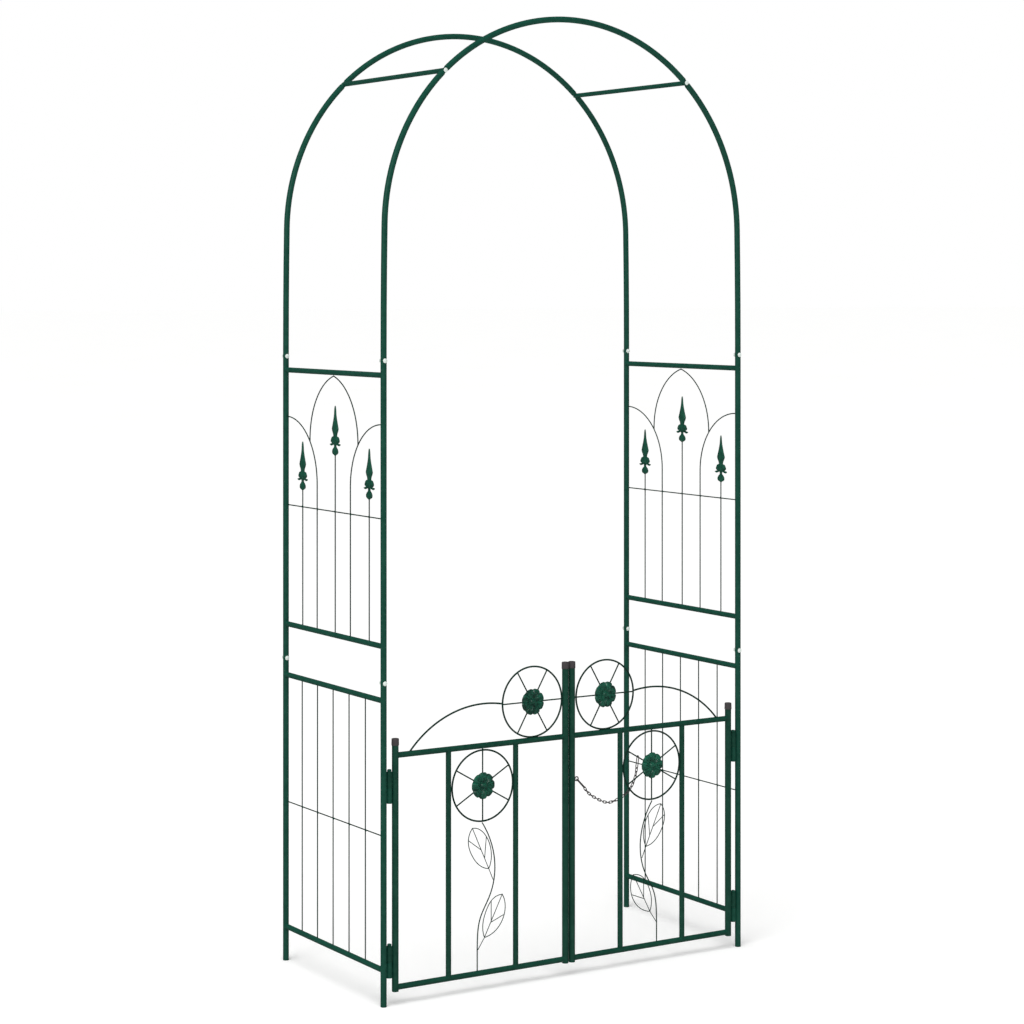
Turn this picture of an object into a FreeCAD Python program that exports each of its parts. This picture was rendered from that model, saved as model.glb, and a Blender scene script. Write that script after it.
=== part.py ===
"""Metal trellis arch with a double gate: steel tube posts and arches, welded wire side
panels, two gate leaves on pin hinges, and a short chain that hangs on the right leaf.

Millimetres. +X is to the right for someone facing the gate, +Y is away from them, +Z is up.
The origin is on the ground, in the middle of the arch. The gate is on the -Y side.
"""
import FreeCAD, Part
import math
import os

V = FreeCAD.Vector

# ---- overall sizes ----
POST_PITCH_X = 1065.0       # left post centre to right post centre
POST_PITCH_Y = 511.4        # front post centre to rear post centre
ARCH_RADIUS = 530.0         # centre line of the round top
ARCH_CENTRE_Z = 1871.0      # height of the centre of the round top

# ---- tubes ----
POST_OD = 15.0
WALL = 1.2
SPIGOT_CLEARANCE = 0.1      # between a drawn-down tube end and the bore of the next tube
SPIGOT_L = 40.0
RAIL_OD = 13.5              # side panel rails
CROSSBAR_OD = 12.0
LOWER_SEAM_Z = 757.0        # upper panel tube starts here
UPPER_SEAM_Z = 1532.0       # arch tube starts here
STRAIGHT_TOP_Z = 1580.0     # the arch leg starts to lean in here
BOLT_ABOVE_SEAM = 20.0
CROSSBAR_ANGLE = 46.85      # degrees up from the springing line

# ---- bolts ----
BOLT_D = 6.0
BOLT_HOLE_D = 6.3
HEAD_D, HEAD_H = 11.5, 4.2
NUT_AF, NUT_H = 10.0, 5.0
THREAD_END = 2.5

# ---- side panels ----
LOWER_RAIL_Z = (87.3, 734.4)
UPPER_RAIL_Z = (865.0, 1516.9)
CROSS_WIRE_Z = (407.9, 1170.8)
WIRE_D = 3.0
LOWER_WIRE_PITCH = 82.7
UPPER_WIRE_PITCH = 87.0
LAYER = WIRE_D              # wires lie beside each other and are spot welded
SPEAR_TIP_Z = {0: 1434.0, 1: 1336.5}
SPEAR_L = 124.0
GOTHIC_FORWARD = 2.5        # the gothic wires sit this far forward of the middle of the panel
GOTHIC_TOP_Z = 1397.8       # where the half arches meet the posts
OGIVE_Z = 1345.0            # centre height of the two arcs of the pointed arch
OGIVE_HALF = 125.5
OGIVE_TOP_Z = 1508.0

# ---- gate ----
STILE_OD = 16.4
HINGE_GAP = 16.4            # between the post and the hinge stile
MEETING_GAP = 3.3           # between the two meeting stiles
HINGE_STILE_TOP = 642.5
MEETING_STILE_TOP = 788.7
STILE_BOTTOM = 32.7
GATE_RAIL_OD = 14.0
GATE_RAIL_Z = (42.6, 601.3)
GATE_BAR_OD = 13.5
GATE_BAR_X = (157.35, 351.2)
CAP_OD, CAP_H, CAP_ROOF = 18.6, 17.0, 2.2

# ---- gate ornament ----
ORNAMENT_Y = -1.5           # the wire work sits this far in front of the bars
RING_R, RING_WIRE = 87.4, 4.5
SPOKE_D = 3.5
UPPER_RING = (109.2, 697.2)
LOWER_RING = (254.3, 503.4)
ROSETTE_R, ROSETTE_T = 33.5, 3.0
PETALS, PETAL_R = 8, 10.5
SCROLL_CENTRE, SCROLL_R = (250.0, 428.7), 275.8
STEM_D = 3.0
LEAF_WIRE = 2.2
VEIN_WIRE = 2.0

# ---- hinges ----
PIN_D, PIN_CLEARANCE = 8.0, 0.05
BARREL_D = 14.2
KNUCKLE_H, KNUCKLE_GAP = 37.6, 0.5
HINGE_Z = (67.5, 487.2)
PIN_HEAD_D, PIN_HEAD_H = 10.4, 6.0

# ---- chain ----
CHAIN_PITCH = 10.0
LINK_WIRE, LINK_W = 2.2, 7.8
LONG_LINK_L, LONG_LINK_W, LONG_LINK_WIRE = 37.0, 10.4, 2.5
LONG_REACH = LONG_LINK_L / 2 - LONG_LINK_WIRE
EYE_R, EYE_WIRE = 5.0, 3.0

# ---- derived places ----
HALF_X = POST_PITCH_X / 2
SPIGOT_OD = POST_OD - 2 * WALL - SPIGOT_CLEARANCE
HEAD_OUT = POST_OD / 2 + HEAD_H
NUT_OUT = POST_OD / 2 + NUT_H + THREAD_END
MID_Y = (HEAD_OUT - NUT_OUT) / 2            # puts the origin in the middle, bolts included
FRONT_Y = MID_Y - POST_PITCH_Y / 2
REAR_Y = MID_Y + POST_PITCH_Y / 2
HINGE_X = HALF_X - POST_OD / 2 - HINGE_GAP / 2
HINGE_STILE_X = HALF_X - POST_OD / 2 - HINGE_GAP - STILE_OD / 2
MEETING_STILE_X = (MEETING_GAP + STILE_OD) / 2
ORN_Y = FRONT_Y + ORNAMENT_Y
SIDES = {"left": -HALF_X, "right": HALF_X}
ROWS = {"front": FRONT_Y, "rear": REAR_Y}
AX, AY, AZ = V(1, 0, 0), V(0, 1, 0), V(0, 0, 1)


# ---------------------------------------------------------------- basic shapes
def rod(a, b, d):
    """Round solid bar from point a to point b."""
    return Part.makeCylinder(d / 2, b.sub(a).Length, a, b.sub(a))


def tube(a, b, od, wall=WALL):
    """Straight tube from point a to point b."""
    return rod(a, b, od).cut(rod(a, b, od - 2 * wall))


def bent(edges, d):
    """Round bar of diameter d along joined edges."""
    path = Part.Wire(edges)
    first = path.OrderedEdges[0]
    start = path.OrderedVertexes[0].Point
    at_start = first.valueAt(first.FirstParameter).sub(start).Length < 1e-6
    tangent = first.tangentAt(first.FirstParameter if at_start else first.LastParameter)
    ring = Part.Wire(Part.makeCircle(d / 2, start, tangent))
    return path.makePipeShell([ring], True, False)


def bent_tube(edges, od, wall=WALL):
    return bent(edges, od).cut(bent(edges, od - 2 * wall))


def arc(y, centre_x, centre_z, r, a0, a1):
    """Arc in an XZ plane; angles in degrees, 0 along +X and 90 straight up."""
    pts = [V(centre_x + r * math.cos(math.radians(a)), y, centre_z + r * math.sin(math.radians(a)))
           for a in (a0, (a0 + a1) / 2, a1)]
    return Part.Arc(*pts).toShape()


def arc_in_side(x, centre_y, centre_z, r, a0, a1):
    """Arc in a YZ plane; angles in degrees, 0 along +Y and 90 straight up."""
    pts = [V(x, centre_y + r * math.cos(math.radians(a)), centre_z + r * math.sin(math.radians(a)))
           for a in (a0, (a0 + a1) / 2, a1)]
    return Part.Arc(*pts).toShape()


def line(a, b):
    return Part.LineSegment(a, b).toShape()


def spline(points):
    curve = Part.BSplineCurve()
    curve.interpolate(points)
    return curve.toShape()


def mirrored(shape):
    return shape.mirror(V(0, 0, 0), AX)


def join(shapes):
    return shapes[0].fuse(shapes[1:]).removeSplitter() if len(shapes) > 1 else shapes[0]


def save(name, *shapes):
    """Write one node. Several shapes in a node are identical pieces, kept separate."""
    shape = shapes[0] if len(shapes) == 1 else Part.makeCompound(list(shapes))
    shape.exportStep("parts/%s.step" % name)


# ---------------------------------------------------------------- posts and arches
def y_hole(x, z, y, d=BOLT_HOLE_D, reach=15.0):
    return rod(V(x, y - reach, z), V(x, y + reach, z), d)


def spigot(x, y, z):
    """Drawn-down end above height z, with the bolt hole in it."""
    end = tube(V(x, y, z - 6), V(x, y, z + SPIGOT_L), SPIGOT_OD)
    return end.cut(y_hole(x, z + BOLT_ABOVE_SEAM, y))


def post(x, y, z0, z1):
    """One length of post from z0 to the seam at z1, with a spigot on top."""
    body = tube(V(x, y, z0), V(x, y, z1), POST_OD)
    collar = rod(V(x, y, z1 - 6), V(x, y, z1), POST_OD - WALL).cut(
        rod(V(x, y, z1 - 6), V(x, y, z1), SPIGOT_OD - WALL))
    body = body.fuse([collar, spigot(x, y, z1)])
    if z0 > 0:
        body = body.cut(y_hole(x, z0 + BOLT_ABOVE_SEAM, y))
    return body.removeSplitter()


def lean_geometry():
    """Large radius that carries the straight leg into the round top without a kink."""
    rise = ARCH_CENTRE_Z - STRAIGHT_TOP_Z
    inset = HALF_X - ARCH_RADIUS
    big = (inset ** 2 + rise ** 2) / (2 * inset) + ARCH_RADIUS
    return big, math.degrees(math.asin(rise / (big - ARCH_RADIUS)))


def left_leg_path(y, end_angle, z0=UPPER_SEAM_Z):
    big, join_angle = lean_geometry()
    centre_x = -HALF_X + big
    return [line(V(-HALF_X, y, z0), V(-HALF_X, y, STRAIGHT_TOP_Z)),
            arc(y, centre_x, STRAIGHT_TOP_Z, big, 180, 180 - join_angle),
            arc(y, 0, ARCH_CENTRE_Z, ARCH_RADIUS, 180 - join_angle, 180 - end_angle)]


TURN = math.degrees(8.0 / ARCH_RADIUS)          # angle taken by 8 mm of arch
SPIGOT_TURN = math.degrees(SPIGOT_L / ARCH_RADIUS)


def crossbar_point(y):
    a = math.radians(180 - CROSSBAR_ANGLE)
    return V(ARCH_RADIUS * math.cos(a), y, ARCH_CENTRE_Z + ARCH_RADIUS * math.sin(a))


def arch_leg(y):
    """Left side tube of an arch: socket below, drawn-down end through the crossbar joint."""
    full = bent_tube(left_leg_path(y, CROSSBAR_ANGLE - TURN), POST_OD)
    neck_from = 180 - CROSSBAR_ANGLE + TURN
    neck_path = [arc(y, 0, ARCH_CENTRE_Z, ARCH_RADIUS, neck_from + TURN / 2, neck_from - SPIGOT_TURN)]
    collar_path = [arc(y, 0, ARCH_CENTRE_Z, ARCH_RADIUS, neck_from + TURN / 2, neck_from)]
    collar = bent(collar_path, POST_OD - WALL).cut(bent(collar_path, SPIGOT_OD - WALL))
    p = crossbar_point(y)
    return full.fuse([collar, bent_tube(neck_path, SPIGOT_OD)]).cut(
        [y_hole(p.x, p.z, y), y_hole(-HALF_X, UPPER_SEAM_Z + BOLT_ABOVE_SEAM, y)]).removeSplitter()


def arch_crown(y):
    a = CROSSBAR_ANGLE + TURN
    return bent_tube([arc(y, 0, ARCH_CENTRE_Z, ARCH_RADIUS, 180 - a, a)], POST_OD)


def crossbar():
    """Left crossbar, between the front and rear arch, with a threaded plug in each end."""
    p = crossbar_point(0)
    y0, y1 = FRONT_Y + SPIGOT_OD / 2, REAR_Y - SPIGOT_OD / 2
    bar = tube(V(p.x, y0, p.z), V(p.x, y1, p.z), CROSSBAR_OD, 1.0)
    plugs = [rod(V(p.x, a, p.z), V(p.x, b, p.z), CROSSBAR_OD - 1) for a, b in ((y0, y0 + 18), (y1 - 18, y1))]
    threads = [rod(V(p.x, a, p.z), V(p.x, b, p.z), BOLT_D) for a, b in ((y0, y0 + 15), (y1 - 15, y1))]
    return bar.fuse(plugs).cut(threads).removeSplitter()


# ---------------------------------------------------------------- bolts
def dome_head(x, y, z, out):
    """Round head with its flat face at y; out is -1 towards the front, +1 towards the rear."""
    r = (HEAD_D ** 2 / 4 + HEAD_H ** 2) / (2 * HEAD_H)
    ball = Part.makeSphere(r, V(x, y + out * (HEAD_H - r), z))
    keep = Part.makeCylinder(HEAD_D, HEAD_H + 1, V(x, y, z), V(0, out, 0))
    return ball.common(keep)


def post_bolt(x, y, z):
    """Bolt through a post joint: head at the front, thread end at the rear."""
    front = y - POST_OD / 2
    return dome_head(x, front, z, -1).fuse(rod(V(x, front, z), V(x, y + NUT_OUT, z), BOLT_D))


def post_nut(x, y, z):
    r = NUT_AF / 2 / math.cos(math.pi / 6)
    face = y + POST_OD / 2
    corners = [V(x + r * math.cos(math.radians(a)), face, z + r * math.sin(math.radians(a)))
               for a in range(30, 391, 60)]
    hexagon = Part.Face(Part.makePolygon(corners)).extrude(V(0, NUT_H, 0))
    return hexagon.cut(rod(V(x, face - 1, z), V(x, face + NUT_H + 1, z), BOLT_D))


def crossbar_bolt(y, out):
    """Bolt through the arch tube into the crossbar's end."""
    p = crossbar_point(y)
    seat = y + out * SPIGOT_OD / 2
    return dome_head(p.x, seat, p.z, out).fuse(
        rod(V(p.x, seat, p.z), V(p.x, y - out * (SPIGOT_OD / 2 + 14), p.z), BOLT_D))


# ---------------------------------------------------------------- side panels
def side_rail(x, z):
    """Rail between the front and rear posts, with its ends shaped to the posts."""
    rail = tube(V(x, FRONT_Y, z), V(x, REAR_Y, z), RAIL_OD)
    return rail.cut([rod(V(x, y, z - 20), V(x, y, z + 20), POST_OD) for y in (FRONT_Y, REAR_Y)])


def rail_solids(x, heights):
    return [rod(V(x, FRONT_Y, z), V(x, REAR_Y, z), RAIL_OD) for z in heights]


def lower_upright(x, n):
    y = MID_Y + n * LOWER_WIRE_PITCH
    wire = rod(V(x, y, LOWER_RAIL_Z[0]), V(x, y, LOWER_RAIL_Z[1]), WIRE_D)
    return wire.cut(rail_solids(x, LOWER_RAIL_Z))


def cross_wire(x, z):
    """Level wire welded to the face of the uprights, from post to post."""
    wire = rod(V(x + LAYER, FRONT_Y, z), V(x + LAYER, REAR_Y, z), WIRE_D)
    return wire.cut([rod(V(x, y, z - 20), V(x, y, z + 20), POST_OD) for y in (FRONT_Y, REAR_Y)])


def spear_foot_z(n):
    return SPEAR_TIP_Z[abs(n)] - SPEAR_L


def spear_wire(x, n):
    y = MID_Y + 2 * n * UPPER_WIRE_PITCH
    at = x + 2 * LAYER
    wire = rod(V(at, y, UPPER_RAIL_Z[0]), V(at, y, spear_foot_z(n)), WIRE_D)
    return wire.cut(rail_solids(x, UPPER_RAIL_Z[:1]))


def half_arch_line(side):
    """Where one half arch has its leg, and the centre and radius of its bow; side is -1 or +1."""
    leg_y = MID_Y - GOTHIC_FORWARD + side * UPPER_WIRE_PITCH
    centre_y = MID_Y + side * (POST_PITCH_Y / 2 - POST_OD / 2 + 0.3)
    return leg_y, centre_y, abs(centre_y - leg_y)


def half_arch(x, side):
    """Leg up from the bottom rail, then a quarter circle out to the post."""
    leg_y, centre_y, r = half_arch_line(side)
    foot = UPPER_RAIL_Z[0]
    leg = line(V(x, leg_y, foot), V(x, leg_y, GOTHIC_TOP_Z - r))
    bow = arc_in_side(x, centre_y, GOTHIC_TOP_Z - r, r, 180 if side > 0 else 0, 90)
    wire = bent([leg, bow], WIRE_D).cut(rail_solids(x, UPPER_RAIL_Z[:1]))
    y = MID_Y + side * POST_PITCH_Y / 2
    return wire.cut(rod(V(x, y, foot), V(x, y, OGIVE_TOP_Z), POST_OD))


def half_ogive(x, side):
    """One side of the pointed arch, from where it stands on the half arch up to the point."""
    middle = MID_Y - GOTHIC_FORWARD
    rise = OGIVE_TOP_Z - OGIVE_Z
    r = (OGIVE_HALF ** 2 + rise ** 2) / (2 * OGIVE_HALF)
    centre_y, bow_r = half_arch_line(side)[1:]
    away = centre_y - middle - side * OGIVE_HALF
    foot_z = GOTHIC_TOP_Z - bow_r + math.sqrt(bow_r ** 2 - away ** 2) - 2 * WIRE_D
    foot = math.degrees(math.asin((foot_z - OGIVE_Z) / r))
    top = math.degrees(math.asin(rise / r))
    half = bent([arc_in_side(x, middle + OGIVE_HALF - r, OGIVE_Z, r, foot, top + 1.5)], WIRE_D)
    half = half.common(Part.makeBox(20, 200, 400, V(x - 10, middle, OGIVE_Z - 100)))
    half = half if side > 0 else half.mirror(V(0, middle, 0), AY)
    seat = Part.makeCylinder(bow_r + WIRE_D / 2 - 0.2, 20, V(x - 10, centre_y, GOTHIC_TOP_Z - bow_r), AX)
    return half.cut(seat)


def pointed_arch(x):
    """Two arcs that meet in a point under the top rail and stand on the half arches."""
    return half_ogive(x, 1).fuse(half_ogive(x, -1)).removeSplitter()


def gothic_wires(x):
    """The two half arches, and the pointed arch that stands on them."""
    return [half_arch(x, -1), half_arch(x, 1), pointed_arch(x)]


def oval_section(x, y, z, half_y, half_x):
    if half_y >= half_x:
        ellipse = Part.Ellipse(V(0, 0, 0), half_y, half_x)
        edge = ellipse.toShape()
        edge.rotate(V(0, 0, 0), AZ, 90)
    else:
        edge = Part.Ellipse(V(0, 0, 0), half_x, half_y).toShape()
    edge.translate(V(x, y, z))
    return Part.Wire(edge)


def spearhead(x, y, tip_z):
    """Cast spear point: a flat blade, a leafy boss with two curled horns, and a bulb foot."""
    blade = [(0, 1.2, 1.2), (26, 5.5, 3.0), (48, 12.5, 4.6), (58, 15.5, 5.2), (66, 12.5, 4.8),
             (74, 9.5, 4.6)]
    foot = [(74, 9.5, 4.6), (80, 9.0, 5.5), (98, 4.0, 4.0), (103, 5.0, 4.5), (111, 10.0, 6.0),
            (117, 8.5, 5.5), (124, 1.6, 1.6)]
    loft = [Part.makeLoft([oval_section(x, y, tip_z - d, a, b) for d, a, b in part], True, True)
            for part in (blade, foot)]
    boss = Part.makeSphere(1.0)
    matrix = FreeCAD.Matrix()
    matrix.scale(6.5, 20.0, 11.5)
    boss = boss.transformGeometry(matrix)
    boss.translate(V(x, y, tip_z - 86))
    horns = [bent([spline([V(x, y + s * 5, tip_z - 90), V(x, y + s * 16, tip_z - 97),
                           V(x, y + s * 23.5, tip_z - 94.5)])], 4.4) for s in (-1, 1)]
    return join(loft + [boss] + horns)


# ---------------------------------------------------------------- gate leaf (left one)
def gate_stile(x, top):
    return tube(V(x, FRONT_Y, STILE_BOTTOM), V(x, FRONT_Y, top - CAP_ROOF), STILE_OD)


def stile_cap(x, top):
    """Plastic cap pushed over the top of a stile."""
    outer = Part.makeCylinder(CAP_OD / 2, CAP_H, V(x, FRONT_Y, top - CAP_H))
    outer = outer.makeFillet(2.4, [e for e in outer.Edges if e.CenterOfMass.z > top - 0.1
                                   and e.Closed])
    return outer.cut(Part.makeCylinder(STILE_OD / 2, CAP_H - CAP_ROOF, V(x, FRONT_Y, top - CAP_H)))


def gate_rail(z):
    rail = tube(V(-HINGE_STILE_X, FRONT_Y, z), V(-MEETING_STILE_X, FRONT_Y, z), GATE_RAIL_OD)
    return rail.cut([rod(V(-x, FRONT_Y, z - 20), V(-x, FRONT_Y, z + 20), STILE_OD)
                     for x in (HINGE_STILE_X, MEETING_STILE_X)])


def rail_cores():
    return [rod(V(-HINGE_STILE_X, FRONT_Y, z), V(0, FRONT_Y, z), GATE_RAIL_OD) for z in GATE_RAIL_Z]


def gate_bar(x):
    bar = tube(V(-x, FRONT_Y, GATE_RAIL_Z[0]), V(-x, FRONT_Y, GATE_RAIL_Z[1]), GATE_BAR_OD)
    return bar.cut(rail_cores())


def wheel(centre, first_spoke, lugs):
    """Ring with six spokes, and short weld lugs towards the tubes beside it."""
    x, z = -centre[0], centre[1]
    parts = [Part.makeTorus(RING_R, RING_WIRE / 2, V(x, ORN_Y, z), AY)]
    for n in range(6):
        a = math.radians(first_spoke + 60 * n)
        u = V(math.cos(a), 0, math.sin(a))
        hub = V(x, ORN_Y, z)
        parts.append(rod(hub + u * 8, hub + u * RING_R, SPOKE_D))
    for angle, reach in lugs:
        a = math.radians(angle)
        u = V(math.cos(a), 0, math.sin(a))
        parts.append(rod(V(x, ORN_Y, z) + u * RING_R, V(x, ORN_Y, z) + u * (RING_R + reach), 3.6))
    return join(parts)


def neighbours():
    """Outer shapes of the leaf's tubes, used to shape the ends of what is welded to them."""
    tubes = [rod(V(-x, FRONT_Y, STILE_BOTTOM), V(-x, FRONT_Y, 780), STILE_OD)
             for x in (HINGE_STILE_X, MEETING_STILE_X)]
    tubes += [rod(V(-x, FRONT_Y, 45), V(-x, FRONT_Y, 600), GATE_BAR_OD) for x in GATE_BAR_X]
    return tubes + rail_cores()


def upper_wheel():
    return wheel(UPPER_RING, 0, [(0, 7), (270, 5)]).cut(neighbours())


def lower_wheel():
    return wheel(LOWER_RING, 30, [(0, 6), (180, 6), (90, 5)]).cut(neighbours())


def rosette(centre):
    """Pressed flower on the front of the spokes: broad petals, a hollow middle and a small boss."""
    x, z = -centre[0], centre[1]
    back = ORN_Y - SPOKE_D / 2 + 0.05
    half_section = [(0, 0), (26, 0), (26, ROSETTE_T), (20, 6.6), (14, 6.2), (7.5, 2.6), (4.4, 2.6),
                    (4.0, 4.6), (0, 5.6)]
    corners = [V(x + r, back - out, z) for r, out in half_section]
    dish = Part.Face(Part.makePolygon(corners + corners[:1])).revolve(V(x, back, z), AY, 360)
    petals = []
    for n in range(PETALS):
        a = 2 * math.pi * n / PETALS
        reach = ROSETTE_R - PETAL_R
        petals.append(Part.makeCylinder(PETAL_R, ROSETTE_T, V(x + reach * math.cos(a), back,
                                                             z + reach * math.sin(a)), V(0, -1, 0)))
    return join([dish] + petals)


def scroll():
    """Round bar that sweeps up from the hinge end of the top rail to the upper ring."""
    bow = bent([arc(ORN_Y, -SCROLL_CENTRE[0], SCROLL_CENTRE[1], SCROLL_R, 79.5, 141)], RING_WIRE)
    ring = Part.makeTorus(RING_R, RING_WIRE / 2, V(-UPPER_RING[0], ORN_Y, UPPER_RING[1]), AY)
    return bow.cut([ring] + rail_cores()).Solids[0]


def stem():
    """Wavy stem from the lower ring down to the bottom rail."""
    shape = [(255.5, 412.0), (230.0, 361.5), (219.0, 306.0), (233.0, 232.0), (261.5, 177.0),
             (269.5, 122.0), (270.0, 44.0)]
    wire = bent([spline([V(-x, ORN_Y, z) for x, z in shape])], STEM_D)
    ring = Part.makeTorus(RING_R, RING_WIRE / 2, V(-LOWER_RING[0], ORN_Y, LOWER_RING[1]), AY)
    return max(wire.cut([ring] + rail_cores()).Solids, key=lambda s: s.Volume)


def wire_leaf(tip, base, stalk_end, one_edge, other_edge, veins):
    """Leaf bent from thin wire: two edges, a midrib that runs on as the stalk, two veins."""
    def at(p):
        return V(-p[0], ORN_Y, p[1])
    parts = [bent([spline([at(p) for p in [tip] + edge + [base]])], LEAF_WIRE)
             for edge in (one_edge, other_edge)]
    parts.append(rod(at(tip), at(base), VEIN_WIRE))
    parts.append(rod(at(base), at(stalk_end), VEIN_WIRE))
    parts += [rod(at(a), at(b), VEIN_WIRE) for a, b in veins]
    parts += [Part.makeSphere(LEAF_WIRE / 2 + 0.2, at(p)) for p in (tip, base)]
    return join(parts)


def upper_leaf():
    return wire_leaf((283.6, 401.0), (236.5, 297.0), (224.0, 268.5),
                     [(295.2, 364.9), (284.0, 333.0), (261.0, 306.5)],
                     [(267.0, 398.0), (243.4, 376.5), (231.8, 350.0), (229.0, 325.0)],
                     [((293.9, 371.4), (259.0, 345.5)), ((243.6, 376.0), (248.6, 323.0))])


def lower_leaf():
    return wire_leaf((197.5, 229.0), (249.0, 129.0), (267.9, 101.0),
                     [(230.0, 216.0), (244.3, 193.5), (253.5, 163.0)],
                     [(188.8, 196.0), (206.5, 151.8), (225.0, 136.8)],
                     [((229.5, 216.3), (229.5, 167.0)), ((194.0, 178.0), (231.0, 163.5))])


# ---------------------------------------------------------------- hinges (left side)
def post_knuckle(z):
    """Lower half of a hinge, welded to the post, with the fixed pin and its round head."""
    c = V(-HINGE_X, FRONT_Y, z)
    barrel = rod(c, c + AZ * KNUCKLE_H, BARREL_D)
    weld = Part.makeBox(HALF_X - HINGE_X, 4, KNUCKLE_H - 6, V(-HALF_X, FRONT_Y - 2, z + 3))
    weld = weld.cut(rod(V(-HALF_X, FRONT_Y, z - 5), V(-HALF_X, FRONT_Y, z + 60), POST_OD))
    pin_top = z + 2 * KNUCKLE_H + 2 * KNUCKLE_GAP
    pin = rod(c, V(-HINGE_X, FRONT_Y, pin_top + 1), PIN_D - 2 * PIN_CLEARANCE)
    head = Part.makeCylinder(PIN_HEAD_D / 2, PIN_HEAD_H, V(-HINGE_X, FRONT_Y, pin_top))
    head = head.makeFillet(2.5, [e for e in head.Edges if e.Closed and e.CenterOfMass.z > pin_top + 1])
    return join([barrel, weld, pin, head])


def leaf_knuckle(z):
    """Upper half of a hinge, welded to the hinge stile; it turns on the pin."""
    c = V(-HINGE_X, FRONT_Y, z + KNUCKLE_H + KNUCKLE_GAP)
    top = c + AZ * KNUCKLE_H
    weld = Part.makeBox(HINGE_X - HINGE_STILE_X, 4, KNUCKLE_H - 6, V(-HINGE_X, FRONT_Y - 2, c.z + 3))
    weld = weld.cut(rod(V(-HINGE_STILE_X, FRONT_Y, c.z - 5), V(-HINGE_STILE_X, FRONT_Y, c.z + 60), STILE_OD))
    return rod(c, top, BARREL_D).fuse(weld).cut(rod(c - AZ, top + AZ, PIN_D)).removeSplitter()


# ---------------------------------------------------------------- chain
def link(length, width, wire):
    """One closed link in the XZ plane, centred, long way along Z."""
    r = (width - wire) / 2
    h = (length - width) / 2
    path = [line(V(r, 0, -h), V(r, 0, h)), arc(0, 0, h, r, 0, 180),
            line(V(-r, 0, h), V(-r, 0, -h)), arc(0, 0, -h, r, 180, 360)]
    straight = [rod(V(s * r, 0, -h), V(s * r, 0, h), wire) for s in (-1, 1)]
    ends = [bent([path[1]], wire), bent([path[3]], wire)]
    return join(straight + ends)


def placed(shape, at, along, across):
    """Turn a link so that its long way is along one direction and its width lies across."""
    z = along.normalize()
    y = z.cross(across).normalize()
    x = y.cross(z)
    m = FreeCAD.Matrix(x.x, y.x, z.x, at.x, x.y, y.y, z.y, at.y, x.z, y.z, z.z, at.z, 0, 0, 0, 1)
    out = shape.copy()
    out.transformShape(m)
    return out


def chain_point(x, out, z):
    return V(x, FRONT_Y + out, z)


EYE_CENTRE = V(MEETING_STILE_X + STILE_OD / 2 + EYE_R + EYE_WIRE / 2 - 0.3, FRONT_Y, 491.5)
HOOK_AT = V(211.6, ORN_Y, LOWER_RING[1] + (LOWER_RING[0] - 211.6) * math.tan(math.radians(30)))
CHAIN_SAG = [(50.0, 2.4, 466.0), (67.5, 5.5, 447.5), (97.0, 8.4, 430.0), (131.0, 11.6, 418.6),
             (157.4, 11.9, 423.5), (178.0, 11.6, 432.0), (196.5, 9.6, 449.0), (207.5, 8.2, 470.0),
             (211.8, 6.4, 491.0)]


def chain_eye():
    """Small eye welded to the side of the right meeting stile."""
    foot = rod(V(MEETING_STILE_X, FRONT_Y, EYE_CENTRE.z), EYE_CENTRE - AX * (EYE_R - 0.6), 4.5)
    eye = Part.makeTorus(EYE_R, EYE_WIRE / 2, EYE_CENTRE, AY)
    stile = rod(V(MEETING_STILE_X, FRONT_Y, 470), V(MEETING_STILE_X, FRONT_Y, 510), STILE_OD)
    return eye.fuse(foot).cut(stile)


def long_link_seats():
    """For each long link: its direction, its middle, and the far inner face the short links bear on."""
    seats = []
    for at, towards, grip in ((EYE_CENTRE, CHAIN_SAG[0], EYE_WIRE / 2 + 0.3 - EYE_R),
                              (HOOK_AT, CHAIN_SAG[-1], SPOKE_D / 2 + 0.5)):
        way = (chain_point(*towards) - at).normalize()
        seats.append((way, at + way * (LONG_REACH - grip), at + way * (2 * LONG_REACH - grip)))
    return seats


def chain_links():
    """Short links along the sagging line, each turned a quarter from the one before."""
    first, last = [seat[2] for seat in long_link_seats()]
    line_of_links = spline([first] + [chain_point(*p) for p in CHAIN_SAG[1:-1]] + [last])
    count = 2 * int(line_of_links.Length / CHAIN_PITCH / 2) + 1   # odd: both end links lie crosswise
    pitch = line_of_links.Length / count
    one = link(pitch + 0.4 + 2 * LINK_WIRE, LINK_W, LINK_WIRE)
    out = []
    for n in range(count):
        s = line_of_links.getParameterByLength((n + 0.5) * pitch)
        along = line_of_links.tangentAt(s)
        side = AY if n % 2 else along.cross(AY)
        out.append(placed(one, line_of_links.valueAt(s), along, side))
    return out


def long_links():
    """The longer link at each end: one in the eye, one over a spoke of the lower right ring."""
    one = link(LONG_LINK_L, LONG_LINK_W, LONG_LINK_WIRE)
    return [placed(one, middle, way, AY) for way, middle, _ in long_link_seats()]


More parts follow.
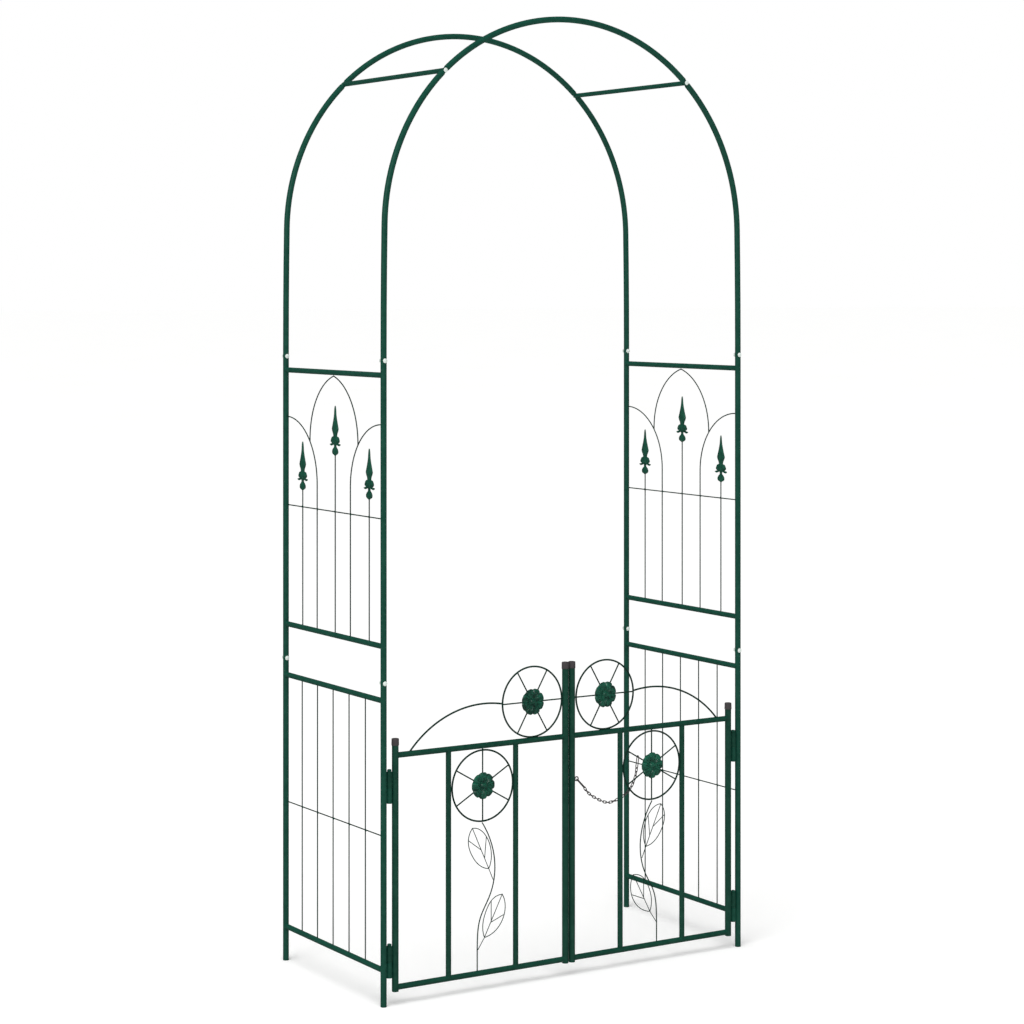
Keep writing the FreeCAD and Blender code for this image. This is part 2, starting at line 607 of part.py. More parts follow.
# ---------------------------------------------------------------- write the nodes
def write_frame():
    for side, x in SIDES.items():
        for row, y in ROWS.items():
            save("%s_lower_%s_post" % (side, row), post(x, y, 0, LOWER_SEAM_Z))
            save("%s_upper_%s_post" % (side, row), post(x, y, LOWER_SEAM_Z, UPPER_SEAM_Z))
        save(side + "_lower_rails", *[side_rail(x, z) for z in LOWER_RAIL_Z])
        save(side + "_upper_rails", *[side_rail(x, z) for z in UPPER_RAIL_Z])
        save(side + "_lower_upright_wires", *[lower_upright(x, n) for n in range(-2, 3)])
        save(side + "_cross_wires", *[cross_wire(x, z) for z in CROSS_WIRE_Z])
        save(side + "_spear_wires", *[spear_wire(x, n) for n in (-1, 0, 1)])
        save(side + "_gothic_wires", *gothic_wires(x))
        save(side + "_spearheads", *[spearhead(x + 2 * LAYER, MID_Y + 2 * n * UPPER_WIRE_PITCH,
                                               SPEAR_TIP_Z[abs(n)]) for n in (-1, 0, 1)])
    for row, y in ROWS.items():
        save(row + "_arch_left_leg", arch_leg(y))
        save(row + "_arch_right_leg", mirrored(arch_leg(y)))
        save(row + "_arch_crown", arch_crown(y))
    save("crossbars", crossbar(), mirrored(crossbar()))
    joints = [(x, y, z + BOLT_ABOVE_SEAM) for x in SIDES.values() for y in ROWS.values()
              for z in (LOWER_SEAM_Z, UPPER_SEAM_Z)]
    save("post_bolts", *[post_bolt(*j) for j in joints])
    save("post_nuts", *[post_nut(*j) for j in joints])
    left = [crossbar_bolt(FRONT_Y, -1), crossbar_bolt(REAR_Y, 1)]
    save("crossbar_bolts", *(left + [mirrored(b) for b in left]))
    knuckles = [post_knuckle(z) for z in HINGE_Z]
    save("left_post_knuckles", *knuckles)
    save("right_post_knuckles", *[mirrored(k) for k in knuckles])


def write_leaves():
    leaf = {
        "hinge_stile": [gate_stile(-HINGE_STILE_X, HINGE_STILE_TOP)],
        "meeting_stile": [gate_stile(-MEETING_STILE_X, MEETING_STILE_TOP)],
        "rails": [gate_rail(z) for z in GATE_RAIL_Z],
        "bars": [gate_bar(x) for x in GATE_BAR_X],
        "rings": [upper_wheel(), lower_wheel()],
        "rosettes": [rosette(UPPER_RING), rosette(LOWER_RING)],
        "scroll": [scroll()],
        "stem": [stem()],
        "leaves": [upper_leaf(), lower_leaf()],
        "caps": [stile_cap(-HINGE_STILE_X, HINGE_STILE_TOP),
                 stile_cap(-MEETING_STILE_X, MEETING_STILE_TOP)],
        "knuckles": [leaf_knuckle(z) for z in HINGE_Z],
    }
    for piece, shapes in leaf.items():
        save("left_leaf_" + piece, *shapes)
        save("right_leaf_" + piece, *[mirrored(s) for s in shapes])


def write_chain():
    save("chain_eye", chain_eye())
    save("chain_links", *chain_links())
    save("chain_end_links", *long_links())


os.makedirs("parts", exist_ok=True)
write_frame()
write_leaves()
write_chain()
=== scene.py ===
"""Metal trellis arch with a double gate, finished for the camera.

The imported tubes, wires, bolts, hinges and chain stay as they are and get their finishes here.
The rosettes, the spear points and the plastic caps are modelled below and stand for the packed
ones, and the weld beads are added.
"""
import bpy
import math
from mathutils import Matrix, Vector


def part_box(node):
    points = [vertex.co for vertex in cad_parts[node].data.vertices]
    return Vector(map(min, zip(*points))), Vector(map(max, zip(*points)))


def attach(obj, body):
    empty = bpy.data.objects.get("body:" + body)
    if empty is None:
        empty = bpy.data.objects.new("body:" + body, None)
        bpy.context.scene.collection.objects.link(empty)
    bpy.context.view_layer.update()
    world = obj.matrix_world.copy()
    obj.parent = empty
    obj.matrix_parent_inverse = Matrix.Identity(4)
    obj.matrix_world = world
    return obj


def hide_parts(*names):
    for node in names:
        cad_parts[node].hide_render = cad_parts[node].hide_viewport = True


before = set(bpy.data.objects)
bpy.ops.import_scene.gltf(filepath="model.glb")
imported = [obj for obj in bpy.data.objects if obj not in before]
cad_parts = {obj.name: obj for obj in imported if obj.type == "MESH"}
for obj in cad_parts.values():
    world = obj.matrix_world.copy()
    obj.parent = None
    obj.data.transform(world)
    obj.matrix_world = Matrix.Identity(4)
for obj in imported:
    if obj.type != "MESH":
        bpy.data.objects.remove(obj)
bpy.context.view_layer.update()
NODES = sorted(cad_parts)
MM = 0.001
FACTOR, COLOUR_A, COLOUR_B, MIXED = 0, 6, 7, 2      # sockets of a colour Mix node


# ---------------------------------------------------------------- colours and nodes
def srgb(code):
    """Linear colour from an sRGB hex value."""
    parts = [int(code[i:i + 2], 16) / 255 for i in (1, 3, 5)]
    linear = (c / 12.92 if c <= 0.04045 else ((c + 0.055) / 1.055) ** 2.4 for c in parts)
    return tuple(linear) + (1.0,)


def add(tree, kind, values=None, links=None, **settings):
    """Add one node, set its settings and values, and link its inputs."""
    node = tree.nodes.new(kind)
    for name, value in settings.items():
        setattr(node, name, value)
    for name, value in (values or {}).items():
        node.inputs[name].default_value = value
    for name, source in (links or {}).items():
        tree.links.new(source, node.inputs[name])
    return node


def new_finish(name):
    finish = bpy.data.materials.new(name)
    finish.use_nodes = True
    tree = finish.node_tree
    tree.nodes.clear()
    place = add(tree, "ShaderNodeTexCoord").outputs["Object"]
    return finish, tree, place


FILM_DRIFT_MM, FILM_CLOUD_MM = 60, 9     # how far apart the film runs thin and thick
ZINC_CLOUD_MM = 4
SKIN_MM, MOULD_CLOUD_MM = 0.8, 7


def powder_coat(name, body, thin, peel_mm, peel_depth_mm, rough, sheen):
    """Steel with an oven-cured polyester powder coat.

    The powder flows out into a faint orange peel, a little paler where the film runs thin,
    with a soft satin gloss and fine dust on it. Orange peel is about 1 mm across; it is drawn
    at peel_mm so that it shows. The gate coat's body colour is darkened as painted shade; the
    pressed-sheet coat's body colour is darkened as painted shade and its thin colour is
    brightened as painted highlight.
    """
    finish, tree, place = new_finish(name)
    drift = add(tree, "ShaderNodeTexNoise",
                {"Scale": 1 / (FILM_DRIFT_MM * MM), "Detail": 2.0, "Roughness": 0.5}, {"Vector": place})
    cloud = add(tree, "ShaderNodeTexNoise",
                {"Scale": 1 / (FILM_CLOUD_MM * MM), "Detail": 3.0, "Roughness": 0.6}, {"Vector": place})
    both = add(tree, "ShaderNodeMath", {1: 0.5}, {0: drift.outputs["Fac"], 2: cloud.outputs["Fac"]},
               operation="MULTIPLY_ADD")
    band = add(tree, "ShaderNodeMapRange", {"From Min": 0.55, "From Max": 0.95},
               {"Value": both.outputs[0]})
    colour = add(tree, "ShaderNodeMix", {COLOUR_A: srgb(body), COLOUR_B: srgb(thin)},
                 {FACTOR: band.outputs[0]}, data_type="RGBA").outputs[MIXED]
    gloss = add(tree, "ShaderNodeMapRange", {"To Min": rough - 0.05, "To Max": rough + 0.07},
                {"Value": cloud.outputs["Fac"]})
    peel = add(tree, "ShaderNodeTexNoise", {"Scale": 1 / (peel_mm * MM), "Detail": 1.5},
               {"Vector": place})
    bump = add(tree, "ShaderNodeBump", {"Strength": 0.35, "Distance": peel_depth_mm * MM},
               {"Height": peel.outputs["Fac"]})
    shader = add(tree, "ShaderNodeBsdfPrincipled", {"IOR": 1.5, "Specular IOR Level": sheen},
                 {"Base Color": colour, "Roughness": gloss.outputs[0], "Normal": bump.outputs[0]})
    add(tree, "ShaderNodeOutputMaterial", links={"Surface": shader.outputs["BSDF"]})
    return finish


def zinc_plate(name, bright, dull, grain_mm, rough, metal):
    """Electroplated zinc on steel: pale silver, clouded by passivation, with a fine grain.

    The chain is mostly metal. A bolt head is so small and so matt that it reads as pale paint,
    so the bolts have a low metal value. Their near-white colour is pale zinc brightened as
    painted highlight, and its green tint is a painted reflection of the green coat.
    """
    finish, tree, place = new_finish(name)
    cloud = add(tree, "ShaderNodeTexNoise", {"Scale": 1 / (ZINC_CLOUD_MM * MM), "Detail": 4.0},
                {"Vector": place})
    colour = add(tree, "ShaderNodeMix", {COLOUR_A: srgb(bright), COLOUR_B: srgb(dull)},
                 {FACTOR: cloud.outputs["Fac"]}, data_type="RGBA").outputs[MIXED]
    gloss = add(tree, "ShaderNodeMapRange", {"To Min": rough - 0.08, "To Max": rough + 0.12},
                {"Value": cloud.outputs["Fac"]})
    grain = add(tree, "ShaderNodeTexNoise", {"Scale": 1 / (grain_mm * MM), "Detail": 2.0},
                {"Vector": place})
    bump = add(tree, "ShaderNodeBump", {"Strength": 0.2, "Distance": 0.05 * MM},
               {"Height": grain.outputs["Fac"]})
    shader = add(tree, "ShaderNodeBsdfPrincipled", {"Metallic": metal},
                 {"Base Color": colour, "Roughness": gloss.outputs[0], "Normal": bump.outputs[0]})
    add(tree, "ShaderNodeOutputMaterial", links={"Surface": shader.outputs["BSDF"]})
    return finish


def moulded_polyethylene(name, body, worn):
    """Injection moulded polyethylene: waxy dark grey with a fine spark-eroded skin."""
    finish, tree, place = new_finish(name)
    skin = add(tree, "ShaderNodeTexNoise", {"Scale": 1 / (SKIN_MM * MM), "Detail": 2.0},
               {"Vector": place})
    cloud = add(tree, "ShaderNodeTexNoise", {"Scale": 1 / (MOULD_CLOUD_MM * MM), "Detail": 2.0},
                {"Vector": place})
    colour = add(tree, "ShaderNodeMix", {COLOUR_A: srgb(body), COLOUR_B: srgb(worn)},
                 {FACTOR: cloud.outputs["Fac"]}, data_type="RGBA").outputs[MIXED]
    bump = add(tree, "ShaderNodeBump", {"Strength": 0.3, "Distance": 0.08 * MM},
               {"Height": skin.outputs["Fac"]})
    gloss = add(tree, "ShaderNodeMapRange", {"To Min": 0.45, "To Max": 0.62},
                {"Value": skin.outputs["Fac"]})
    shader = add(tree, "ShaderNodeBsdfPrincipled", {"IOR": 1.51},
                 {"Base Color": colour, "Roughness": gloss.outputs[0], "Normal": bump.outputs[0]})
    add(tree, "ShaderNodeOutputMaterial", links={"Surface": shader.outputs["BSDF"]})
    return finish


TUBE_COAT = powder_coat(
    "moss green powder coat on tube", "#094234", "#134D3D",
    2.2, 0.06, 0.36, 0.3)
# the gate tubes' body and thin colours are the tube coat darkened as painted shade
GATE_COAT_PAINTED_SHADE = powder_coat(
    "moss green powder coat with painted shade on gate tube", "#0B3C2F", "#154838",
    2.2, 0.06, 0.36, 0.3)
WIRE_COAT = powder_coat(
    "moss green powder coat on wire", "#08291F", "#10362B",
    1.6, 0.05, 0.38, 0.3)
CAST_COAT = powder_coat(
    "moss green powder coat on cast iron", "#0A4233", "#175440",
    1.4, 0.16, 0.42, 0.3)
# the rosettes' very dark body colour is painted shade of their hollows, and the pale thin colour is
# painted highlight
PRESSED_COAT_PAINTED_SHADE_AND_HIGHLIGHT = powder_coat(
    "moss green powder coat on pressed sheet", "#052E24", "#18604A",
    1.4, 0.10, 0.20, 1.0)
# bolt colours: pale zinc brightened to near white as painted highlight, green tint a painted reflection
# of the coat
BOLT_ZINC_PAINTED_HIGHLIGHT = zinc_plate("zinc plate with painted highlight and reflection on bolts", "#F4FBF7", "#D6E4DC", 0.6, 0.55, 0.15)
CHAIN_ZINC = zinc_plate("zinc plate on chain", "#A8A2A2", "#7E7879", 0.8, 0.42, 0.8)
CAP_PLASTIC = moulded_polyethylene("moulded dark grey polyethylene", "#3E3A3C", "#4C4749")


def finish_for(node):
    if "bolts" in node or "nuts" in node:
        return BOLT_ZINC_PAINTED_HIGHLIGHT
    if node.startswith("chain"):
        return CHAIN_ZINC
    if node.endswith("_caps"):
        return CAP_PLASTIC
    if "spearheads" in node or "rosettes" in node:
        return CAST_COAT
    if any(word in node for word in ("wires", "_leaves", "stem", "rings", "scroll")):
        return WIRE_COAT
    return GATE_COAT_PAINTED_SHADE if "_leaf_" in node else TUBE_COAT


for node in NODES:
    piece = bpy.data.objects[node]
    for slot in piece.material_slots:
        slot.material = finish_for(node)


# ---------------------------------------------------------------- at the bench
def put_down():
    """Leave edit mode and let go of everything, before a new piece is started."""
    if bpy.context.object and bpy.context.object.mode != "OBJECT":
        bpy.ops.object.mode_set(mode="OBJECT")
    bpy.ops.object.select_all(action="DESELECT")


def take_up(piece):
    put_down()
    piece.select_set(True)
    bpy.context.view_layer.objects.active = piece


def pick(piece, wanted):
    """Back in edit mode with only those corners selected whose place, in mm, is wanted."""
    bpy.ops.object.mode_set(mode="OBJECT")
    for part in (piece.data.polygons, piece.data.edges):
        part.foreach_set("select", [False] * len(part))
    for corner in piece.data.vertices:
        corner.select = wanted(corner.co / MM)
    bpy.ops.object.mode_set(mode="EDIT")
    bpy.ops.mesh.select_mode(type="VERT")


def stretch(x, y, z, about=(0, 0, 0)):
    bpy.ops.transform.resize(value=(x, y, z), center_override=[c * MM for c in about])


def shift(x, y, z):
    bpy.ops.transform.translate(value=(x * MM, y * MM, z * MM))


def modify(piece, kind, **settings):
    """Add one modifier and apply it."""
    take_up(piece)
    step = piece.modifiers.new(kind.lower(), kind)
    for name, value in settings.items():
        setattr(step, name, value)
    bpy.ops.object.modifier_apply(modifier=step.name)


def smooth(piece, degrees):
    take_up(piece)
    bpy.ops.object.shade_smooth_by_angle(angle=math.radians(degrees))


def joined(pieces):
    put_down()
    for piece in pieces:
        piece.select_set(True)
    bpy.context.view_layer.objects.active = pieces[0]
    bpy.ops.object.join()
    return bpy.context.object


def set_in_place(master, name, place_mm, turn_y=0.0):
    """A copy of a finished casting, with its own mesh, fixed where it belongs."""
    piece = master.copy()
    piece.data = master.data.copy()
    piece.name = piece.data.name = name
    bpy.context.collection.objects.link(piece)
    piece.location = [c * MM for c in place_mm]
    piece.rotation_euler = (0, math.radians(turn_y), 0)
    take_up(piece)
    bpy.ops.object.transform_apply(location=True, rotation=True, scale=True)
    return piece


def hand_over(piece, body, slot, finish, *nodes):
    """Give a finished piece its coat and its body, and let it stand for its CAD nodes."""
    piece.data.materials.clear()
    piece.data.materials.append(finish)
    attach(piece, body)
    if nodes:
        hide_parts(*nodes)


def scrap(piece):
    """The master stays on the bench until its copies are made, then goes."""
    bpy.data.objects.remove(piece, do_unlink=True)


def box_mm(node):
    low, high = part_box(node)
    return Vector(low) / MM, Vector(high) / MM


# ---------------------------------------------------------------- pressed rosettes
ROSETTE_R = 33.5
PETALS = 8
DISH = [(2.2, 2.2), (4.4, 2.5), (4.6, 1.5), (4.8, -0.8), (4.8, -3.0), (3.6, -1.4), (1.6, 0.2),
        (0.9, 2.0), (1.6, 1.6), (2.0, 0.5)]          # step in and step forward, in mm
HALF_PETAL = 180 / PETALS
RIM_R, BOSS_R = 20, 10.5
NOTCHES = [(9.2, 0.99), (6.2, 0.982), (3.4, 0.968), (0.6, 0.97)]     # half width in degrees, pull in
CREASES = [(0.0, 30.0, -1.0), (5.625, 27.0, 1.4), (11.25, 27.0, -0.9),
           (HALF_PETAL, 31.0, 2.2)]                # degrees off the petal's middle, reach, step back
SHEET = 1.3


def across_petal(place):
    """Angle from the middle of the nearest petal, in degrees, and distance from the centre."""
    angle = math.degrees(math.atan2(place.z, place.x))
    angle = (angle + HALF_PETAL) % (2 * HALF_PETAL) - HALF_PETAL
    return angle, math.hypot(place.x, place.z)


def rosette_pressing():
    """Flower pressed from sheet: eight creased petals round a hollow with a boss in it."""
    put_down()
    bpy.ops.mesh.primitive_circle_add(vertices=16 * PETALS, radius=ROSETTE_R * MM, fill_type="NGON",
                                      rotation=(math.radians(90), 0, 0))
    piece = bpy.context.object
    bpy.ops.object.transform_apply(rotation=True)
    bpy.ops.object.mode_set(mode="EDIT")
    bpy.ops.mesh.select_mode(type="FACE")
    bpy.ops.mesh.select_all(action="SELECT")
    for inwards, forwards in DISH:
        bpy.ops.mesh.inset(thickness=inwards * MM, depth=forwards * MM)
    bpy.ops.mesh.poke()
    for width, pull in NOTCHES:
        pick(piece, lambda p: across_petal(p)[1] > RIM_R
             and HALF_PETAL - abs(across_petal(p)[0]) < width)
        stretch(pull, 1, pull)
        shift(0, 0.35, 0)
    for crease, reach, depth in CREASES:
        pick(piece, lambda p: BOSS_R < across_petal(p)[1] < reach
             and abs(abs(across_petal(p)[0]) - crease) < 0.6)
        shift(0, depth, 0)
    bpy.ops.object.mode_set(mode="OBJECT")
    modify(piece, "SOLIDIFY", thickness=SHEET * MM, offset=-1.0)
    modify(piece, "SUBSURF", levels=1, render_levels=1)
    smooth(piece, 60)
    return piece


def fit_rosettes():
    master = rosette_pressing()
    for side, out in (("left", -1), ("right", 1)):
        node = side + "_leaf_rosettes"
        low, high = box_mm(node)
        near, far = (high, low) if out < 0 else (low, high)
        back = high.y - SHEET
        upper = set_in_place(master, side + "_upper_rosette",
                             (near.x + out * ROSETTE_R, back, high.z - ROSETTE_R), HALF_PETAL)
        lower = set_in_place(master, side + "_lower_rosette",
                             (far.x - out * ROSETTE_R, back, low.z + ROSETTE_R), 0)
        for piece in (upper, lower):
            hand_over(piece, side + "_leaf", "green_castings", PRESSED_COAT_PAINTED_SHADE_AND_HIGHLIGHT, node)
    scrap(master)


# ---------------------------------------------------------------- cast spear points
SPEAR_L = 124.0
HORN_SPAN = 24.5
SPEAR_SECTIONS = [  # height above the foot, half width, half thickness, in mm
    (0, 2.4, 2.4), (1.5, 3.4, 3.0), (3.5, 10.4, 4.4), (7, 14.2, 5.0), (12, 14.0, 4.9),
    (17, 10.4, 4.3), (20, 5.4, 3.6), (23, 3.5, 3.0), (27, 4.6, 3.4), (33, 9.0, 4.4),
    (42, 9.6, 4.6), (47, 8.4, 4.0), (50, 8.2, 3.7), (55, 10.0, 3.9), (60, 13.6, 4.3),
    (66, 16.4, 4.6), (71, 14.8, 4.4), (80, 11.4, 3.9), (90, 8.2, 3.1), (100, 5.4, 2.5),
    (110, 3.5, 2.1), (118, 2.6, 1.8), (123, 2.0, 1.5), (124, 1.2, 1.0)]
SPEAR_RIBS = [(50, 118, 1.8, 1.3), (2, 18, 0.8, 1.25)]  # from, to, half width, how much thicker
LEAF_LOBES = [  # place across and up, half width, half height, half thickness, in mm
    (0, 37.5, 8.2, 11.5, 6.2), (10.6, 39.6, 7.4, 8.2, 5.0), (-10.6, 39.6, 7.4, 8.2, 5.0),
    (14.8, 36.8, 5.6, 5.8, 4.2), (-14.8, 36.8, 5.6, 5.8, 4.2), (8.0, 33.2, 5.2, 6.2, 5.4),
    (-8.0, 33.2, 5.2, 6.2, 5.4)]
SPEAR_GRAIN, BEAD_GRAIN = 0.75, 0.7                     # voxel sizes, in mm
HORN = [(3.0, 31.5, 2.4), (8.5, 29.4, 2.4), (13.5, 27.6, 2.4), (18.6, 26.6, 2.9), (21.4, 27.4, 3.7),
        (21.6, 29.0, 3.6)]                             # across, up, half thickness


def spear_blade():
    """The spine of the casting, drawn up section by section from its foot."""
    put_down()
    bpy.ops.mesh.primitive_circle_add(vertices=24, radius=SPEAR_SECTIONS[0][1] * MM,
                                      fill_type="NGON")
    piece = bpy.context.object
    bpy.ops.object.mode_set(mode="EDIT")
    bpy.ops.mesh.select_all(action="SELECT")
    for (z0, wide0, thick0), (z1, wide1, thick1) in zip(SPEAR_SECTIONS, SPEAR_SECTIONS[1:]):
        bpy.ops.mesh.extrude_region_move(TRANSFORM_OT_translate={"value": (0, 0, (z1 - z0) * MM)})
        stretch(thick1 / thick0, wide1 / wide0, 1, (0, 0, z1))
    for bottom, top, half_rib, rise in SPEAR_RIBS:
        pick(piece, lambda p: bottom < p.z < top and abs(p.y) < half_rib and abs(p.x) > 0.8)
        stretch(rise, 1, 1)
    bpy.ops.object.mode_set(mode="OBJECT")
    return piece


def leaf_lobe(across, up, wide, high, thick):
    put_down()
    bpy.ops.mesh.primitive_uv_sphere_add(segments=24, ring_count=16, radius=MM)
    piece = bpy.context.object
    bpy.ops.object.mode_set(mode="EDIT")
    bpy.ops.mesh.select_all(action="SELECT")
    stretch(thick, wide, high)
    shift(0, across, up)
    bpy.ops.object.mode_set(mode="OBJECT")
    return piece


def horn(side):
    """A horn that curls down, out and up again."""
    put_down()
    bpy.ops.curve.primitive_nurbs_path_add(radius=MM)
    piece = bpy.context.object
    line = piece.data.splines[0]
    line.points.add(len(HORN) - len(line.points))
    for point, (across, up, thick) in zip(line.points, HORN):
        point.co = (0, side * across * MM, up * MM, 1)
        point.radius = thick
    line.use_endpoint_u = True
    piece.data.bevel_depth, piece.data.bevel_resolution = MM, 4
    piece.data.use_fill_caps = True
    bpy.ops.object.convert(target="MESH")
    return bpy.context.object


def spear_casting():
    """Blade, leafy boss, horns and bulb run together into one casting."""
    parts = [spear_blade()] + [leaf_lobe(*lobe) for lobe in LEAF_LOBES] + [horn(-1), horn(1)]
    piece = joined(parts)
    modify(piece, "REMESH", mode="VOXEL", voxel_size=SPEAR_GRAIN * MM)
    modify(piece, "SMOOTH", factor=0.5, iterations=3)
    smooth(piece, 60)
    return piece


def fit_spears():
    master = spear_casting()
    for side in ("left", "right"):
        node = side + "_spearheads"
        low, high = box_mm(node)
        x, y = (low.x + high.x) / 2, (low.y + high.y) / 2
        row = (high.y - low.y) / 2 - HORN_SPAN
        for place, n in (("front", -1), ("middle", 0), ("rear", 1)):
            foot = low.z if n else high.z - SPEAR_L
            piece = set_in_place(master, "%s_%s_spearhead" % (side, place), (x, y + n * row, foot))
            hand_over(piece, "frame", "green_castings", CAST_COAT, node)
    scrap(master)


# ---------------------------------------------------------------- push-on caps
CAP_R, CAP_H = 9.3, 17.0
CROWN_STEPS = [(0.9, 0.75), (2.2, 0.4), (3.2, 0.15), (0.9, -0.35)]   # the last one is the gate mark
LIP, CAP_CHAMFER, CAP_BORE_DEPTH = 0.7, 0.3, 14.6


def moulded_cap():
    """Moulded cap: tapered skirt open below, a crowned top and the gate mark in it."""
    put_down()
    bpy.ops.mesh.primitive_cylinder_add(vertices=64, radius=CAP_R * MM, depth=CAP_H * MM,
                                        end_fill_type="NGON", location=(0, 0, -CAP_H / 2 * MM))
    piece = bpy.context.object
    bpy.ops.object.transform_apply(location=True)
    bpy.ops.object.mode_set(mode="EDIT")
    pick(piece, lambda p: p.z > -1)
    stretch(0.965, 0.965, 1)
    shift(0, 0, -1.3)
    bpy.ops.mesh.select_mode(type="FACE")
    for inwards, up in CROWN_STEPS:
        bpy.ops.mesh.inset(thickness=inwards * MM, depth=up * MM)
    pick(piece, lambda p: p.z < -CAP_H + 0.5)
    bpy.ops.mesh.select_mode(type="FACE")
    bpy.ops.mesh.inset(thickness=LIP * MM)
    bpy.ops.mesh.inset(thickness=CAP_CHAMFER * MM, depth=-CAP_BORE_DEPTH * MM)
    bpy.ops.object.mode_set(mode="OBJECT")
    modify(piece, "BEVEL", width=0.35 * MM, segments=3, limit_method="ANGLE",
           angle_limit=math.radians(35))
    smooth(piece, 35)
    return piece


def fit_caps():
    master = moulded_cap()
    for side, out in (("left", -1), ("right", 1)):
        node = side + "_leaf_caps"
        low, high = box_mm(node)
        y = (low.y + high.y) / 2
        hinge_x, meeting_x = (low.x, high.x) if out < 0 else (high.x, low.x)
        hinge_x, meeting_x = hinge_x - out * CAP_R, meeting_x + out * CAP_R
        for place, x, top in (("hinge", hinge_x, low.z + CAP_H), ("meeting", meeting_x, high.z)):
            piece = set_in_place(master, "%s_%s_stile_cap" % (side, place), (x, y, top))
            hand_over(piece, side + "_leaf", "cap_plastic", CAP_PLASTIC, node)
    scrap(master)


# ---------------------------------------------------------------- welds
BEAD = 0.75                                             # how far a bead stands out, in mm
POST_R, RAIL_R, STILE_R, GATE_RAIL_R, BAR_R = 7.5, 6.75, 8.2, 7.0, 6.75
SPOT_R, WIRE_R, RING_R = 2.4, 1.5, 87.4
GOTHIC_FORWARD, HALF_ARCH_LEG = 2.5, 87.0
BEAD_CUT = 1.2                                          # the bead is kept from here outwards
RING_REACH = 91.84, 89.65, 91.01                        # ends of the ring work to ring centres


def round_bar(radius, length, place, axis):
    """A plain bar centred on a place, lying along X, Y or Z."""
    put_down()
    turn = {"X": (0, math.pi / 2, 0), "Y": (math.pi / 2, 0, 0), "Z": (0, 0, 0)}[axis]
    bpy.ops.mesh.primitive_cylinder_add(vertices=48, radius=radius * MM, depth=length * MM,
                                        end_fill_type="NGON", rotation=turn,
                                        location=[c * MM for c in place])
    bpy.ops.object.transform_apply(location=True, rotation=True)
    return bpy.context.object


def saddle_bead(through_r, through_axis, end_r, end_axis, end_side):
    """Fillet weld where one tube ends on the side of another, centred on the through tube."""
    piece = round_bar(end_r + BEAD, 4 * through_r, (0, 0, 0), end_axis)
    other = round_bar(through_r + BEAD, 6 * through_r, (0, 0, 0), through_axis)
    modify(piece, "BOOLEAN", operation="INTERSECT", object=other, solver="EXACT")
    scrap(other)
    side = [0, 0, 0]
    side["XYZ".index(end_axis)] = end_side
    take_up(piece)
    bpy.ops.object.mode_set(mode="EDIT")
    bpy.ops.mesh.select_all(action="SELECT")
    bpy.ops.mesh.bisect(plane_co=[c * BEAD_CUT * MM for c in side], plane_no=side,
                        clear_inner=True, use_fill=True)
    bpy.ops.object.mode_set(mode="OBJECT")
    modify(piece, "REMESH", mode="VOXEL", voxel_size=BEAD_GRAIN * MM)
    modify(piece, "SMOOTH", factor=0.5, iterations=4)
    smooth(piece, 60)
    return piece


def spot_bead():
    """Small flattened drop of weld metal where two wires cross."""
    put_down()
    bpy.ops.mesh.primitive_ico_sphere_add(subdivisions=2, radius=SPOT_R * MM)
    piece = bpy.context.object
    bpy.ops.object.mode_set(mode="EDIT")
    bpy.ops.mesh.select_all(action="SELECT")
    stretch(0.8, 1, 1.15)
    bpy.ops.object.mode_set(mode="OBJECT")
    smooth(piece, 60)
    return piece


def wire_crossings():
    """Where the level wires of the side panels touch the upright ones."""
    spots = []
    for side in ("left", "right"):
        low, high = box_mm(side + "_cross_wires")
        lower, spears = box_mm(side + "_lower_upright_wires"), box_mm(side + "_spear_wires")
        lower_y = lower[0].y + WIRE_R, lower[1].y - WIRE_R
        spear_y = spears[0].y + WIRE_R, spears[1].y - WIRE_R
        legs_middle = (spear_y[0] + spear_y[1]) / 2 - GOTHIC_FORWARD
        lower_pitch, spear_pitch = (lower_y[1] - lower_y[0]) / 4, (spear_y[1] - spear_y[0]) / 2
        low_z, high_z = low.z + WIRE_R, high.z - WIRE_R
        spots += [(low.x, lower_y[0] + n * lower_pitch, low_z) for n in range(5)]
        spots += [(low.x, legs_middle + n * HALF_ARCH_LEG, high_z) for n in (-1, 1)]
        spots += [(high.x, spear_y[0] + n * spear_pitch, high_z) for n in range(3)]
    return spots


def spoke_ends(side, out):
    """Where the six spokes of each ring meet it."""
    low, high = box_mm(side + "_leaf_rings")
    near, far = (high, low) if out < 0 else (low, high)
    spots = []
    for x, z, first in ((near.x + out * RING_REACH[0], high.z - RING_REACH[1], 0),
                        (far.x - out * RING_REACH[2], low.z + RING_REACH[1], 30)):
        for n in range(6):
            angle = math.radians(first + 60 * n)
            spots.append((x + RING_R * math.cos(angle), (low.y + high.y) / 2,
                          z + RING_R * math.sin(angle)))
    return spots


def run_beads(name, body, beads, spots):
    """Copies of the beads at all their places, run together into one piece for one body."""
    pieces = []
    for recipe, places in beads:
        master = saddle_bead(*recipe)
        pieces += [set_in_place(master, name, place) for place in places]
        scrap(master)
    master = spot_bead()
    pieces += [set_in_place(master, name, place) for place in spots]
    scrap(master)
    hand_over(joined(pieces), body, "green_tube", TUBE_COAT if body == "frame" else GATE_COAT_PAINTED_SHADE)


def middle(node):
    low, high = box_mm(node)
    return (low + high) / 2


